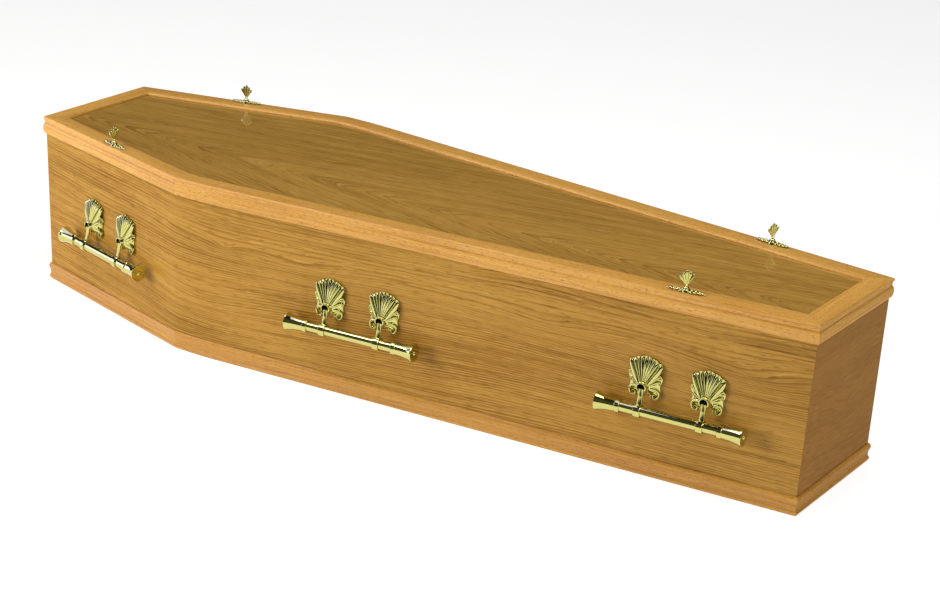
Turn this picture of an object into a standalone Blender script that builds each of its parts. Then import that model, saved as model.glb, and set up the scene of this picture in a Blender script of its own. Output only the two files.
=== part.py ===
"""A shouldered wooden coffin: a hollow box of bent and flat boards, a lift-off lid in a moulded frame,
six swing-bar handles and four lid thumbscrews. Metres, +Z up, +X from head to foot, +Y to the left
of someone lying inside. The origin is on the floor, at the middle of the plan."""

import math
from collections import namedtuple

import bmesh
import bpy
from mathutils import Matrix, Vector

# Box
BOX_LENGTH = 1.950
HEAD_WIDTH = 0.330
SHOULDER_WIDTH = 0.604
FOOT_WIDTH = 0.312
SHOULDER_FROM_HEAD = 0.533
HEIGHT = 0.393
END_LEAN = 0.009
BOARD_THICKNESS = 0.015
GAP = 0.0003
WELD = 0.00001

# Bend at the shoulder: a mitre just before it, then a long curve
MITRE_BEFORE_SHOULDER = 0.022
BEND_PAST_SHOULDER = 0.095
BEND_STEPS = 4
BOARD_CORNER_RADIUS = 0.120
CORNER_STEPS = 2

# Lid
LID_DEPTH = 0.042
PANEL_THICKNESS = 0.015
PANEL_SINK = 0.006
STRIP_FLAT_WIDTH = 0.036
STRIP_SLOPE_WIDTH = 0.011
STRIP_TOE = 0.0015
NOSING_REACH = 0.0055
NOSING_RADIUS = 0.004
BELLY_REACH = 0.006
BELLY_DROP = 0.028
QUIRK_REACH = 0.0025
QUIRK_DROP = 0.012
BELLY_RISE = 0.012

# Base moulding
BASE_MOULDING_HEIGHT = 0.038
BASE_MOULDING_REACH = 0.0055
BASE_NOSE_HEIGHT = 0.030
BASE_COVE_HEIGHT = 0.015
BASE_COVE_REACH = 0.0022
BASE_BEAD_HEIGHT = 0.005
BASE_BEAD_RADIUS = 0.004

# Handles
HANDLE_FROM_HEAD = 0.262
HANDLE_FROM_FOOT = 0.2655
PLATE_PITCH = 0.130
PIVOT_HEIGHT = 0.191
PIVOT_OFF_BOARD = 0.0185
BAR_DROP = 0.046
BAR_OFF_BOARD = 0.028
BAR_LENGTH = 0.312
BAR_RADIUS = 0.0102
BAR_SIDES = 8
CAP_LENGTH = 0.054
CAP_RIM_RADIUS = 0.019
CAP_WAIST_RADIUS = 0.0128
CAP_WAIST_FROM_COLLAR = 0.0135
CAP_COLLAR_RADIUS = 0.0140
CAP_DOME = 0.003
RING_WALL = 0.0028
RING_WIDTH = 0.014
RUNNING_CLEARANCE = 0.0004

# Handle plate
PLATE_TOP = 0.060
PLATE_FAN_CORNER = 0.0575
PLATE_FAN_FOOT = 0.0395
PLATE_CURL = 0.0425
PLATE_WAIST = 0.032
PLATE_SCROLL = 0.0365
PLATE_SCROLL_FOOT = 0.0345
PLATE_NOTCH = 0.015
PLATE_EDGE = 0.0025
SOCKET_RADIUS = 0.0078
COLLAR_WALL = 0.003
COLLAR_HEIGHT = 0.024
SOCKET_FLOOR = 0.0125
SLOT_LIP = 0.016
SLOT_HALF_ANGLE = 54
SLOT_EDGE_ANGLE = 5
FAN_START_ANGLE = 127.5
FLUTES = 6
FLUTE_DEPTH = 0.0022
SCALLOP_DEPTH = 0.0025
FLUTE_ROOT_SHARE = 0.35
SCROLL_FOOT_ANGLE = 40
SCROLL_ANGLE = 55
SCROLL_LIFT = 0.005
WAIST_ANGLE = 97
CURL_MIDDLE_ANGLE = 122
FAN_FOOT_ANGLE = 135
FAN_CORNER_ANGLE = 145
CURL_LIFT = 0.004
RELIEF_SPREAD = 16
COLLAR_LIP = 0.004
DOME_POWER = 1.3
SLOT_DOME_SHARE = 0.25
PLATE_MIDDLE_SHARE = 0.55
DRAFT = 0.0002
SLOT_STEP = 0.0005
COLLAR_FOOT = 0.0008

# Handle arm
ARM_WIDTH = 0.0112
ARM_THICKNESS = 0.0055
KNUCKLE_RADIUS = 0.0043
KNUCKLE_STEPS = 3
PIN_RADIUS = 0.0016
PIN_SIDES = 6
PIN_END_CLEARANCE = 0.001

# Thumbscrews
THUMBSCREW_FROM_END = 0.267
SHANK_RADIUS = 0.003
SHANK_BITE = 0.013
SHANK_SIDES = 6
SCREW_CLEARANCE = 0.0006
HEAD_COLLAR_RADIUS = 0.0055
HEAD_COLLAR_HEIGHT = 0.004
NECK_RADIUS = 0.0025
NECK_HEIGHT = 0.006
NECK_TAPER = 0.001
LEAF_SOCKET_DEPTH = 0.002
PALMETTE_HEIGHT = 0.031
PALMETTE_WIDTH = 0.034
PALMETTE_BASE_WIDTH = 0.008
PALMETTE_THICKNESS = 0.004
PALMETTE_LOBES = 5
POINTS_PER_LOBE = 2
PALMETTE_SPREAD = 33
PALMETTE_SIDE_SHARE = 0.86
PALMETTE_LOBE_DEPTH = 0.0016
THUMBSCREW_TURNS = {"head_right": 106, "head_left": -10, "foot_right": 40, "foot_left": 80}

# Leafy plate under each thumbscrew
WREATH_LENGTH = 0.084
WREATH_WIDTH = 0.024
WREATH_HEIGHT = 0.006
WREATH_EDGE = 0.0015
WREATH_LEAVES = 8
LEAF_NOTCH_SHARE = 0.8
LEAF_SHOULDER_SHARE = 0.62
LEAF_SHOULDER_SHIFT = 0.002
LEAF_RIB_LIFT = 0.0012

OAK = (0.52, 0.30, 0.09)
HONEY = (0.68, 0.36, 0.11)
OLIVE = (0.35, 0.20, 0.05)
BRASS = (0.76, 0.66, 0.22)

BOX_TOP = HEIGHT - LID_DEPTH - GAP
RIGHT = -1
LEFT = 1
HEAD = -1
FOOT = 1
SIDE_NAMES = {RIGHT: "right", LEFT: "left"}
END_NAMES = {HEAD: "head", FOOT: "foot"}

Station = namedtuple("Station", "point offset lean")


def clear_scene():
    for old in list(bpy.data.objects):
        bpy.data.objects.remove(old)


def new_collection(name):
    collection = bpy.data.collections.new(name)
    bpy.context.scene.collection.children.link(collection)
    return collection


def paint(obj, colour, roughness, metallic):
    material = bpy.data.materials.new(obj.name)
    material.use_nodes = True
    shader = material.node_tree.nodes["Principled BSDF"]
    shader.inputs["Base Color"].default_value = (*colour, 1)
    shader.inputs["Roughness"].default_value = roughness
    shader.inputs["Metallic"].default_value = metallic
    obj.data.materials.append(material)
    obj.material_slots[0].link = "OBJECT"
    obj.material_slots[0].material = material
    return obj


def wood(obj, colour):
    return paint(obj, colour, 0.3, 0.0)


def brass(obj):
    return paint(obj, BRASS, 0.12, 1.0)


def add_object(name, data, collection):
    obj = bpy.data.objects.new(name, data)
    collection.objects.link(obj)
    return obj


def mesh_from(bm, name):
    bmesh.ops.recalc_face_normals(bm, faces=bm.faces)
    mesh = bpy.data.meshes.new(name)
    bm.to_mesh(mesh)
    bm.free()
    return mesh


def ellipse_arc(middle, radii, start, end, steps):
    """Points on an ellipse from the start angle to the end angle, in degrees."""
    points = []
    for i in range(steps + 1):
        angle = math.radians(start + (end - start) * i / steps)
        points.append((middle[0] + radii[0] * math.cos(angle), middle[1] + radii[1] * math.sin(angle)))
    return points


# Plan of the box, worked out for the left side and mirrored for the right


def half_length(height):
    """Half the outside length at a height: both ends lean out by END_LEAN from floor to lid."""
    return BOX_LENGTH / 2 - END_LEAN * (1 - height / BOX_TOP)


def shoulder_point():
    return Vector((SHOULDER_FROM_HEAD - BOX_LENGTH / 2, SHOULDER_WIDTH / 2))


def side_direction(end):
    """Unit direction of the side's straight stretch at that end, always towards the foot."""
    width = HEAD_WIDTH if end == HEAD else FOOT_WIDTH
    corner = Vector((end * BOX_LENGTH / 2, width / 2))
    return ((corner - shoulder_point()) * end).normalized()


def outward(direction):
    return Vector((-direction.y, direction.x))


def mitre_offset(first_normal, second_normal):
    """How far a corner moves for each metre that both its faces move outwards."""
    return (first_normal + second_normal) / (1 + first_normal.dot(second_normal))


def corner_station(end, height, leans):
    """The left corner at that end. Its point is where the faces meet at floor level, or at height."""
    along = side_direction(end)
    start = shoulder_point()
    x = end * half_length(height)
    point = start + along * ((x - start.x) / along.x)
    lean = along * (end * END_LEAN / BOX_TOP / along.x) if leans else Vector((0, 0))
    return Station(point, mitre_offset(outward(along), Vector((end, 0))), lean)


def bend_centre():
    """Centre and radius of the long curve that starts at the mitre and runs into the foot stretch."""
    mitre = shoulder_point() - side_direction(HEAD) * MITRE_BEFORE_SHOULDER
    finish = shoulder_point() + side_direction(FOOT) * BEND_PAST_SHOULDER
    normal = outward(side_direction(FOOT))
    chord = finish - mitre
    radius = chord.length_squared / (2 * chord.dot(normal))
    return mitre, finish - normal * radius, radius


def bend_stations(skip=0.0):
    """Stations along the long curve, from skip metres past the mitre to where it straightens."""
    mitre, centre, radius = bend_centre()
    end_normal = outward(side_direction(FOOT))
    first_normal = (mitre - centre).normalized()
    turn = first_normal.angle_signed(end_normal)
    stations = []
    for i in range(BEND_STEPS + 1):
        share = skip / (turn * radius) + (1 - skip / (turn * radius)) * i / BEND_STEPS
        normal = first_normal.copy()
        normal.rotate(Matrix.Rotation(-turn * share, 2))
        stations.append(Station(centre + normal * radius, normal, Vector((0, 0))))
    return stations


def mitre_station():
    mitre, centre, radius = bend_centre()
    first_normal = (mitre - centre).normalized()
    return Station(mitre, mitre_offset(outward(side_direction(HEAD)), first_normal), Vector((0, 0)))


def board_corner_stations():
    """The board is one bent piece, so it turns at the mitre on a small radius."""
    mitre, centre, radius = bend_centre()
    start_normal = outward(side_direction(HEAD))
    end_normal = (mitre - centre).normalized()
    turn = start_normal.angle_signed(end_normal)
    setback = BOARD_CORNER_RADIUS * math.tan(turn / 2)
    middle = mitre - side_direction(HEAD) * setback - start_normal * BOARD_CORNER_RADIUS
    stations = []
    for i in range(CORNER_STEPS + 1):
        normal = start_normal.copy()
        normal.rotate(Matrix.Rotation(-turn * i / CORNER_STEPS, 2))
        stations.append(Station(middle + normal * BOARD_CORNER_RADIUS, normal, Vector((0, 0))))
    return stations, setback


def board_stations(height, leans):
    """The whole left side of the box as the bent board runs."""
    corner, setback = board_corner_stations()
    bend = bend_stations(skip=2 * setback)
    head = corner_station(HEAD, height, leans)
    foot = corner_station(FOOT, height, leans)
    return [head, *corner, *bend, foot]


def moulding_stations(height, leans):
    """The two stretches of a moulding on the left side, head stretch first, both ending in the mitre."""
    mitre = mitre_station()
    head = corner_station(HEAD, height, leans)
    foot = corner_station(FOOT, height, leans)
    return [head, mitre], [mitre, *bend_stations()[1:], foot]


def cross_stations(end, height, leans):
    """The stretch across the head or the foot, from the right corner to the left one."""
    left = corner_station(end, height, leans)
    flip = Vector((1, -1))
    right = Station(left.point * flip, left.offset * flip, left.lean * flip)
    return [right, left]


def pulled_in(stations):
    """Moves both end faces back by half the gap, so that neighbours don't touch in their mitre."""
    first, last = stations[0], stations[-1]
    moved = []
    for station, inner in ((first, stations[1]), (last, stations[-2])):
        across = Vector((-station.offset.y, station.offset.x)).normalized()
        if across.dot(inner.point - station.point) < 0:
            across = -across
        moved.append(Station(station.point + across * GAP / 2, station.offset, station.lean))
    return [moved[0], *stations[1:-1], moved[1]]


def run_mesh(name, stations, profile, side=LEFT):
    """Lofts a profile of (distance outwards, height) through the stations."""
    bm = bmesh.new()
    rings = []
    for station in pulled_in(stations):
        ring = []
        for out, height in profile:
            plan = station.point + station.offset * out + station.lean * height
            ring.append(bm.verts.new((plan.x, plan.y * side, height)))
        rings.append(ring)
    count = len(profile)
    for near, far in zip(rings, rings[1:]):
        for i in range(count):
            j = (i + 1) % count
            bm.faces.new((near[i], near[j], far[j], far[i]))
    bm.faces.new(rings[0])
    bm.faces.new(reversed(rings[-1]))
    return mesh_from(bm, name)


def closed_outline(stations, out):
    """The whole plan outline at a distance outwards, from the left side's stations."""
    left = [station.point + station.offset * out for station in stations]
    right = [Vector((point.x, -point.y)) for point in reversed(left)]
    return left + right


def flat_board(name, outline, bottom, thickness, collection):
    """A flat board cut to an outline: a filled 2D curve with thickness."""
    curve = bpy.data.curves.new(name, "CURVE")
    curve.dimensions = "2D"
    curve.fill_mode = "BOTH"
    curve.extrude = thickness / 2
    spline = curve.splines.new("POLY")
    spline.points.add(len(outline) - 1)
    for point, place in zip(spline.points, outline):
        point.co = (place[0], place[1], 0, 1)
    spline.use_cyclic_u = True
    board = add_object(name, curve, collection)
    board.location.z = bottom + thickness / 2
    return board


# Boards


def board_profile():
    return [(-BOARD_THICKNESS, 0), (0, 0), (0, BOX_TOP), (-BOARD_THICKNESS, BOX_TOP)]


def make_boards(parts):
    boards = {}
    for side in (RIGHT, LEFT):
        name = f"side_board_{SIDE_NAMES[side]}"
        mesh = run_mesh(name, board_stations(0, True), board_profile(), side)
        boards[side] = wood(add_object(name, mesh, parts), OAK)
    for end in (HEAD, FOOT):
        name = f"{END_NAMES[end]}_board"
        mesh = run_mesh(name, cross_stations(end, 0, True), board_profile())
        wood(add_object(name, mesh, parts), OAK)
    inside = closed_outline(board_stations(0, True), -BOARD_THICKNESS - GAP)
    wood(flat_board("base_board", inside, 0, BOARD_THICKNESS, parts), OAK)
    return boards


# Mouldings


def base_moulding_profile():
    """Rounded nose above, cove in the middle, bead at the floor."""
    bead_middle = (BASE_MOULDING_REACH - BASE_BEAD_RADIUS, BASE_BEAD_HEIGHT)
    bead = ellipse_arc(bead_middle, (BASE_BEAD_RADIUS, BASE_BEAD_RADIUS), -60, 60, 2)
    nose_radii = (BASE_MOULDING_REACH - GAP, BASE_MOULDING_HEIGHT - BASE_NOSE_HEIGHT)
    nose = ellipse_arc((GAP, BASE_NOSE_HEIGHT), nose_radii, -45, 90, 4)
    return [(GAP, 0), (bead[0][0], 0), *bead, (BASE_COVE_REACH, BASE_COVE_HEIGHT), *nose]


def lid_moulding_profile():
    """Frame section: leg on the box's edge, flange over the panel, nosing, quirk and belly outside."""
    belly_low = ellipse_arc((0, -BELLY_DROP), (BELLY_REACH, LID_DEPTH - BELLY_DROP), -90, 0, 3)
    belly_high_radii = (BELLY_REACH - QUIRK_REACH, BELLY_RISE)
    belly_high = ellipse_arc((QUIRK_REACH, -BELLY_DROP), belly_high_radii, 0, 90, 2)[1:]
    nosing_middle = (NOSING_REACH - NOSING_RADIUS, -NOSING_RADIUS)
    nosing = ellipse_arc(nosing_middle, (NOSING_RADIUS, NOSING_RADIUS), -60, 90, 4)
    flat_end = NOSING_REACH - STRIP_FLAT_WIDTH
    slope_radii = (STRIP_SLOPE_WIDTH, PANEL_SINK - STRIP_TOE)
    slope = ellipse_arc((flat_end, -slope_radii[1]), slope_radii, 90, 180, 3)
    toe = (flat_end - STRIP_SLOPE_WIDTH, -PANEL_SINK)
    leg_inside = -BOARD_THICKNESS
    section = [(leg_inside, -LID_DEPTH), *belly_low, *belly_high, (QUIRK_REACH, -QUIRK_DROP), *nosing]
    section += [*slope, toe, (leg_inside, -PANEL_SINK)]
    return [(out, HEIGHT + drop) for out, drop in section]


def make_moulding(kind, profile, height, leans, colour, parts):
    """Six pieces, mitred at the four corners and at both shoulders."""
    pieces = {}
    for side in (RIGHT, LEFT):
        stretches = moulding_stations(height, leans)
        for end, stations in zip((HEAD, FOOT), stretches):
            name = f"{kind}_{SIDE_NAMES[side]}_{END_NAMES[end]}"
            mesh = run_mesh(name, stations, profile, side)
            pieces[side, end] = wood(add_object(name, mesh, parts), colour)
    for end in (HEAD, FOOT):
        name = f"{kind}_{END_NAMES[end]}"
        mesh = run_mesh(name, cross_stations(end, height, leans), profile)
        wood(add_object(name, mesh, parts), colour)
    return pieces


def make_lid_panel(parts):
    head_stretch, foot_stretch = moulding_stations(BOX_TOP, False)
    outline = closed_outline(head_stretch + foot_stretch[1:], -BOARD_THICKNESS - GAP)
    bottom = HEIGHT - PANEL_SINK - GAP - PANEL_THICKNESS
    return wood(flat_board("lid_panel", outline, bottom, PANEL_THICKNESS, parts), OLIVE)


# Places along the sides


def side_frame(from_middle, side, off_board, height):
    """Matrix of a fitting on a side: X along the side, Y outwards from the board, Z up."""
    end = HEAD if from_middle < shoulder_point().x else FOOT
    along = side_direction(end)
    start = shoulder_point()
    point = start + along * ((from_middle - start.x) / along.x) + outward(along) * off_board
    x_axis = Vector((along.x, along.y * side, 0))
    y_axis = Vector((-along.y, along.x * side, 0))
    turn = Matrix((x_axis, y_axis, Vector((0, 0, 1)))).transposed()
    if side == RIGHT:
        turn = turn @ Matrix.Diagonal((-1, 1, 1))
    return Matrix.Translation((point.x, point.y * side, height)) @ turn.to_4x4()


# Joining and cutting


def modified_mesh(obj):
    """The object's evaluated mesh, with caps welded."""
    bpy.context.view_layer.update()
    graph = bpy.context.evaluated_depsgraph_get()
    mesh = bpy.data.meshes.new_from_object(obj.evaluated_get(graph), depsgraph=graph)
    bm = bmesh.new()
    bm.from_mesh(mesh)
    bmesh.ops.remove_doubles(bm, verts=bm.verts, dist=WELD)
    bm.to_mesh(mesh)
    bm.free()
    return mesh


def boolean(target, tool, operation):
    modifier = target.modifiers.new(operation.lower(), "BOOLEAN")
    modifier.object = tool
    modifier.operation = operation
    modifier.solver = "EXACT"


def make_cutter(name, mesh, cutters):
    cutter = add_object(name, mesh, cutters)
    cutter.hide_render = True
    cutter.display_type = "WIRE"
    return cutter


def rod_mesh(name, radius, length, sides, axis):
    """A plain rod centred on the origin."""
    bm = bmesh.new()
    bmesh.ops.create_cone(bm, cap_ends=True, segments=sides, radius1=radius, radius2=radius, depth=length)
    if axis == "X":
        bmesh.ops.rotate(bm, verts=bm.verts, matrix=Matrix.Rotation(math.pi / 2, 3, "Y"))
    return mesh_from(bm, name)


def turned(profile, sides, axis):
    """Turns a profile of (radius, place along the axis) about X or Z."""
    bm = bmesh.new()
    rings = []
    for radius, place in profile:
        ring = []
        for i in range(sides if radius > 0 else 1):
            angle = 2 * math.pi * (i + 0.5) / sides
            across = radius * math.cos(angle), radius * math.sin(angle)
            spot = (place, *across) if axis == "X" else (*across, place)
            ring.append(bm.verts.new(spot))
        rings.append(ring)
    for low, high in zip(rings, rings[1:]):
        for i in range(sides):
            j = (i + 1) % sides
            corners = [low[i % len(low)], low[j % len(low)], high[j % len(high)], high[i % len(high)]]
            bm.faces.new(list(dict.fromkeys(corners)))
    return bm


# Handles


def plate_angles():
    """Angles round the socket, in degrees from straight down: scroll, slot edges, waist, then the fan."""
    lower = [0, SCROLL_FOOT_ANGLE, SLOT_HALF_ANGLE, SLOT_HALF_ANGLE + SLOT_EDGE_ANGLE, WAIST_ANGLE]
    step = (180 - FAN_START_ANGLE) / FLUTES
    fan = [FAN_START_ANGLE + step * i for i in range(FLUTES + 1)]
    half = lower + fan
    return half + [360 - angle for angle in reversed(half[1:-1])]


def blend(points, where):
    """Smooth cosine interpolation through (place, value) points."""
    for (low, first), (high, second) in zip(points, points[1:]):
        if where <= high:
            share = (1 - math.cos(math.pi * (where - low) / (high - low))) / 2
            return first + (second - first) * share
    return points[-1][1]


def fan_wave(angle):
    """1 on a ridge of the fan and -1 in a groove, 0 outside it."""
    if angle < FAN_START_ANGLE:
        return 0
    return math.cos(math.pi * (180 - angle) / (180 - FAN_START_ANGLE) * FLUTES)


def plate_radius(angle):
    """Outline of the plate round the socket: notch, scroll, waist, curl, then the scalloped fan."""
    from_bottom = min(angle, 360 - angle)
    outline = [
        (0, PLATE_NOTCH),
        (SCROLL_FOOT_ANGLE, PLATE_SCROLL_FOOT),
        (SLOT_HALF_ANGLE + SLOT_EDGE_ANGLE, PLATE_SCROLL),
        (WAIST_ANGLE, PLATE_WAIST),
        (FAN_START_ANGLE, PLATE_CURL),
        (FAN_FOOT_ANGLE, PLATE_FAN_FOOT),
        (FAN_CORNER_ANGLE, PLATE_FAN_CORNER),
        (180, PLATE_TOP),
    ]
    scallop = SCALLOP_DEPTH * (fan_wave(from_bottom) - 1) / 2 if from_bottom >= FAN_START_ANGLE else 0
    return blend(outline, from_bottom) + scallop


def hump(angle, middle):
    return math.exp(-(((angle - middle) / RELIEF_SPREAD) ** 2))


def plate_lift(angle, share):
    """Height off the board, share of the way from the collar's foot to the edge."""
    from_bottom = min(angle, 360 - angle)
    dome = (COLLAR_HEIGHT - COLLAR_LIP - PLATE_EDGE) * (1 - share) ** DOME_POWER
    if from_bottom <= SLOT_HALF_ANGLE:
        dome *= SLOT_DOME_SHARE
    strength = FLUTE_ROOT_SHARE + (1 - FLUTE_ROOT_SHARE) * share
    flute = FLUTE_DEPTH * (share + fan_wave(from_bottom) * strength)
    scroll = SCROLL_LIFT * hump(from_bottom, SCROLL_ANGLE) * share
    curl = CURL_LIFT * hump(from_bottom, CURL_MIDDLE_ANGLE) * math.sin(math.pi * share)
    return PLATE_EDGE + dome + flute + scroll + curl


def plate_mesh(parts, cutters):
    """One cast plate: socket in a raised collar, slotted for the arm, which rests on the slot's lip.
    The relief runs round it. X along the board, Y out, Z up."""
    angles = plate_angles()
    collar_radius = SOCKET_RADIUS + COLLAR_WALL
    bm = bmesh.new()
    rings = [[] for _ in range(7)]
    for angle in angles:
        direction = Vector((math.sin(math.radians(angle)), -math.cos(math.radians(angle))))
        in_slot = min(angle, 360 - angle) <= SLOT_HALF_ANGLE
        rim = SLOT_LIP if in_slot else COLLAR_HEIGHT
        edge = plate_radius(angle)
        middle = collar_radius + (edge - collar_radius) * PLATE_MIDDLE_SHARE
        section = [
            (SOCKET_RADIUS - DRAFT, SOCKET_FLOOR),
            (SOCKET_RADIUS, rim),
            (collar_radius, rim - DRAFT),
            (collar_radius + COLLAR_FOOT, min(plate_lift(angle, 0), rim - SLOT_STEP)),
            (middle, plate_lift(angle, PLATE_MIDDLE_SHARE)),
            (edge, plate_lift(angle, 1)),
            (edge, 0),
        ]
        for ring, (radius, lift) in zip(rings, section):
            ring.append(bm.verts.new((direction.x * radius, lift, direction.y * radius)))
    count = len(angles)
    for inner, outer in zip(rings, rings[1:]):
        for i in range(count):
            j = (i + 1) % count
            bm.faces.new((inner[i], inner[j], outer[j], outer[i]))
    bm.faces.new(rings[0])
    bm.faces.new(reversed(rings[-1]))
    blank = add_object("plate_blank", mesh_from(bm, "plate_blank"), parts)
    bore_length = 2 * (collar_radius + PIN_END_CLEARANCE)
    bore = rod_mesh("pin_bore", PIN_RADIUS + RUNNING_CLEARANCE, bore_length, PIN_SIDES, "X")
    cutter = make_cutter("pin_bore", bore, cutters)
    cutter.location.y = PIVOT_OFF_BOARD - GAP
    boolean(blank, cutter, "DIFFERENCE")
    mesh = modified_mesh(blank)
    bpy.data.objects.remove(blank)
    bpy.data.objects.remove(cutter)
    return mesh


def arm_mesh(parts):
    """Knuckle with its two pins, strap and ring, cast in one. Its origin is the pivot."""
    reach = Vector((BAR_OFF_BOARD - PIVOT_OFF_BOARD, -BAR_DROP))
    length = reach.length
    tilt = math.atan2(reach.x, -reach.y)
    ring_bore = BAR_RADIUS + RUNNING_CLEARANCE
    ring_radius = ring_bore + RING_WALL
    half = ARM_THICKNESS / 2
    strap_end = length - (ring_bore + ring_radius) / 2
    knuckle_turn = math.degrees(math.asin(half / KNUCKLE_RADIUS))
    knuckle_radii = (KNUCKLE_RADIUS, KNUCKLE_RADIUS)
    knuckle = ellipse_arc((0, 0), knuckle_radii, knuckle_turn - 90, 270 - knuckle_turn, KNUCKLE_STEPS)
    outline = [*knuckle, (-half, -strap_end), (half, -strap_end)]
    strap = flat_board("arm_blank", outline, -ARM_WIDTH / 2, ARM_WIDTH, parts)
    blank = add_object("arm_solid", modified_mesh(strap), parts)
    blank.data.transform(strap.matrix_world)
    blank.data.transform(Matrix(((0, 0, 1, 0), (1, 0, 0, 0), (0, 1, 0, 0), (0, 0, 0, 1))))
    bpy.data.objects.remove(strap)
    pin_length = 2 * (SOCKET_RADIUS + COLLAR_WALL) - PIN_END_CLEARANCE
    pins = add_object("arm_pins", rod_mesh("arm_pins", PIN_RADIUS, pin_length, PIN_SIDES, "X"), parts)
    half_ring = RING_WIDTH / 2
    hoop = [
        (ring_bore, -half_ring),
        (ring_radius, -half_ring),
        (ring_radius, half_ring),
        (ring_bore, half_ring),
        (ring_bore, -half_ring),
    ]
    bm = turned(hoop, BAR_SIDES, "X")
    bmesh.ops.remove_doubles(bm, verts=bm.verts, dist=WELD)
    ring = add_object("arm_ring", mesh_from(bm, "arm_ring"), parts)
    ring.location.z = -length
    boolean(blank, pins, "UNION")
    boolean(blank, ring, "UNION")
    mesh = modified_mesh(blank)
    mesh.transform(Matrix.Rotation(tilt, 4, "X"))
    for used in (blank, pins, ring):
        bpy.data.objects.remove(used)
    return mesh


def bar_mesh():
    """Tube with a trumpet cap and a domed end on each side."""
    half = BAR_LENGTH / 2
    cap_start = half - CAP_LENGTH
    cap = [
        (BAR_RADIUS, cap_start),
        (CAP_COLLAR_RADIUS, cap_start),
        (CAP_WAIST_RADIUS, cap_start + CAP_WAIST_FROM_COLLAR),
        (CAP_RIM_RADIUS, half - CAP_DOME),
        (0, half),
    ]
    profile = [(radius, -place) for radius, place in reversed(cap)] + cap
    return mesh_from(turned(profile, BAR_SIDES, "X"), "handle_bar")


def make_handles(parts, cutters):
    plate = plate_mesh(parts, cutters)
    arm = arm_mesh(parts)
    bar = bar_mesh()
    bar.transform(Matrix.Rotation(math.atan2(BAR_OFF_BOARD - PIVOT_OFF_BOARD, BAR_DROP), 4, "X"))
    head_place = HANDLE_FROM_HEAD - BOX_LENGTH / 2
    foot_place = BOX_LENGTH / 2 - HANDLE_FROM_FOOT
    places = {"head": head_place, "middle": (head_place + foot_place) / 2, "foot": foot_place}
    for side in (RIGHT, LEFT):
        for place, middle in places.items():
            label = f"{SIDE_NAMES[side]}_{place}"
            pivot = bpy.data.objects.new(f"pivot_{label}", None)
            parts.objects.link(pivot)
            pivot.matrix_world = side_frame(middle, side, PIVOT_OFF_BOARD, PIVOT_HEIGHT)
            for number, shift in ((1, -PLATE_PITCH / 2), (2, PLATE_PITCH / 2)):
                plate_object = add_object(f"handle_plate_{label}_{number}", plate.copy(), parts)
                plate_object.parent = pivot
                plate_object.location = (shift, GAP - PIVOT_OFF_BOARD, 0)
                brass(plate_object)
                arm_object = add_object(f"handle_arm_{label}_{number}", arm.copy(), parts)
                arm_object.parent = pivot
                arm_object.location = (shift, 0, 0)
                brass(arm_object)
            bar_object = add_object(f"handle_bar_{label}", bar.copy(), parts)
            bar_object.parent = pivot
            bar_object.location = (0, BAR_OFF_BOARD - PIVOT_OFF_BOARD, -BAR_DROP)
            brass(bar_object)


# Thumbscrews and their leafy plates


def palmette_outline():
    """Fan leaf as (across, up) points, with a lobe at the end of each rib."""
    spread = math.radians(PALMETTE_SPREAD)
    widen = PALMETTE_WIDTH / (2 * math.sin(spread) * PALMETTE_HEIGHT * PALMETTE_SIDE_SHARE)
    steps = PALMETTE_LOBES * POINTS_PER_LOBE
    points = [(PALMETTE_BASE_WIDTH / 2, 0)]
    for i in range(steps + 1):
        angle = spread * (1 - 2 * i / steps)
        fullness = math.cos(angle / spread * math.pi / 2)
        rib = PALMETTE_HEIGHT * (PALMETTE_SIDE_SHARE + (1 - PALMETTE_SIDE_SHARE) * fullness)
        rib -= PALMETTE_LOBE_DEPTH * (1 - abs(math.sin(math.pi * PALMETTE_LOBES * i / steps)))
        points.append((math.sin(angle) * rib * widen, math.cos(angle) * rib))
    points.append((-PALMETTE_BASE_WIDTH / 2, 0))
    return points


def thumbscrew_mesh(parts):
    """Shank, collar and neck turned in one with the upright palmette. Its origin is on the lid's strip."""
    plate_top = WREATH_HEIGHT
    collar_top = plate_top + GAP + HEAD_COLLAR_HEIGHT
    neck_top = collar_top + NECK_HEIGHT
    profile = [
        (0, -LID_DEPTH - SHANK_BITE),
        (SHANK_RADIUS, -LID_DEPTH - SHANK_BITE + SHANK_RADIUS),
        (SHANK_RADIUS, plate_top + GAP),
        (HEAD_COLLAR_RADIUS, plate_top + GAP),
        (HEAD_COLLAR_RADIUS, collar_top),
        (NECK_RADIUS, collar_top + NECK_TAPER),
        (NECK_RADIUS, neck_top),
        (0, neck_top),
    ]
    stem = add_object("stem", mesh_from(turned(profile, SHANK_SIDES, "Z"), "stem"), parts)
    leaf = flat_board("leaf", palmette_outline(), -PALMETTE_THICKNESS / 2, PALMETTE_THICKNESS, parts)
    upright = add_object("leaf_solid", modified_mesh(leaf), parts)
    upright.data.transform(leaf.matrix_world)
    stand_up = Matrix.Rotation(math.pi / 2, 4, "X")
    upright.data.transform(Matrix.Translation((0, 0, neck_top - LEAF_SOCKET_DEPTH)) @ stand_up)
    bpy.data.objects.remove(leaf)
    boolean(stem, upright, "UNION")
    mesh = modified_mesh(stem)
    bpy.data.objects.remove(stem)
    bpy.data.objects.remove(upright)
    return mesh


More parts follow.
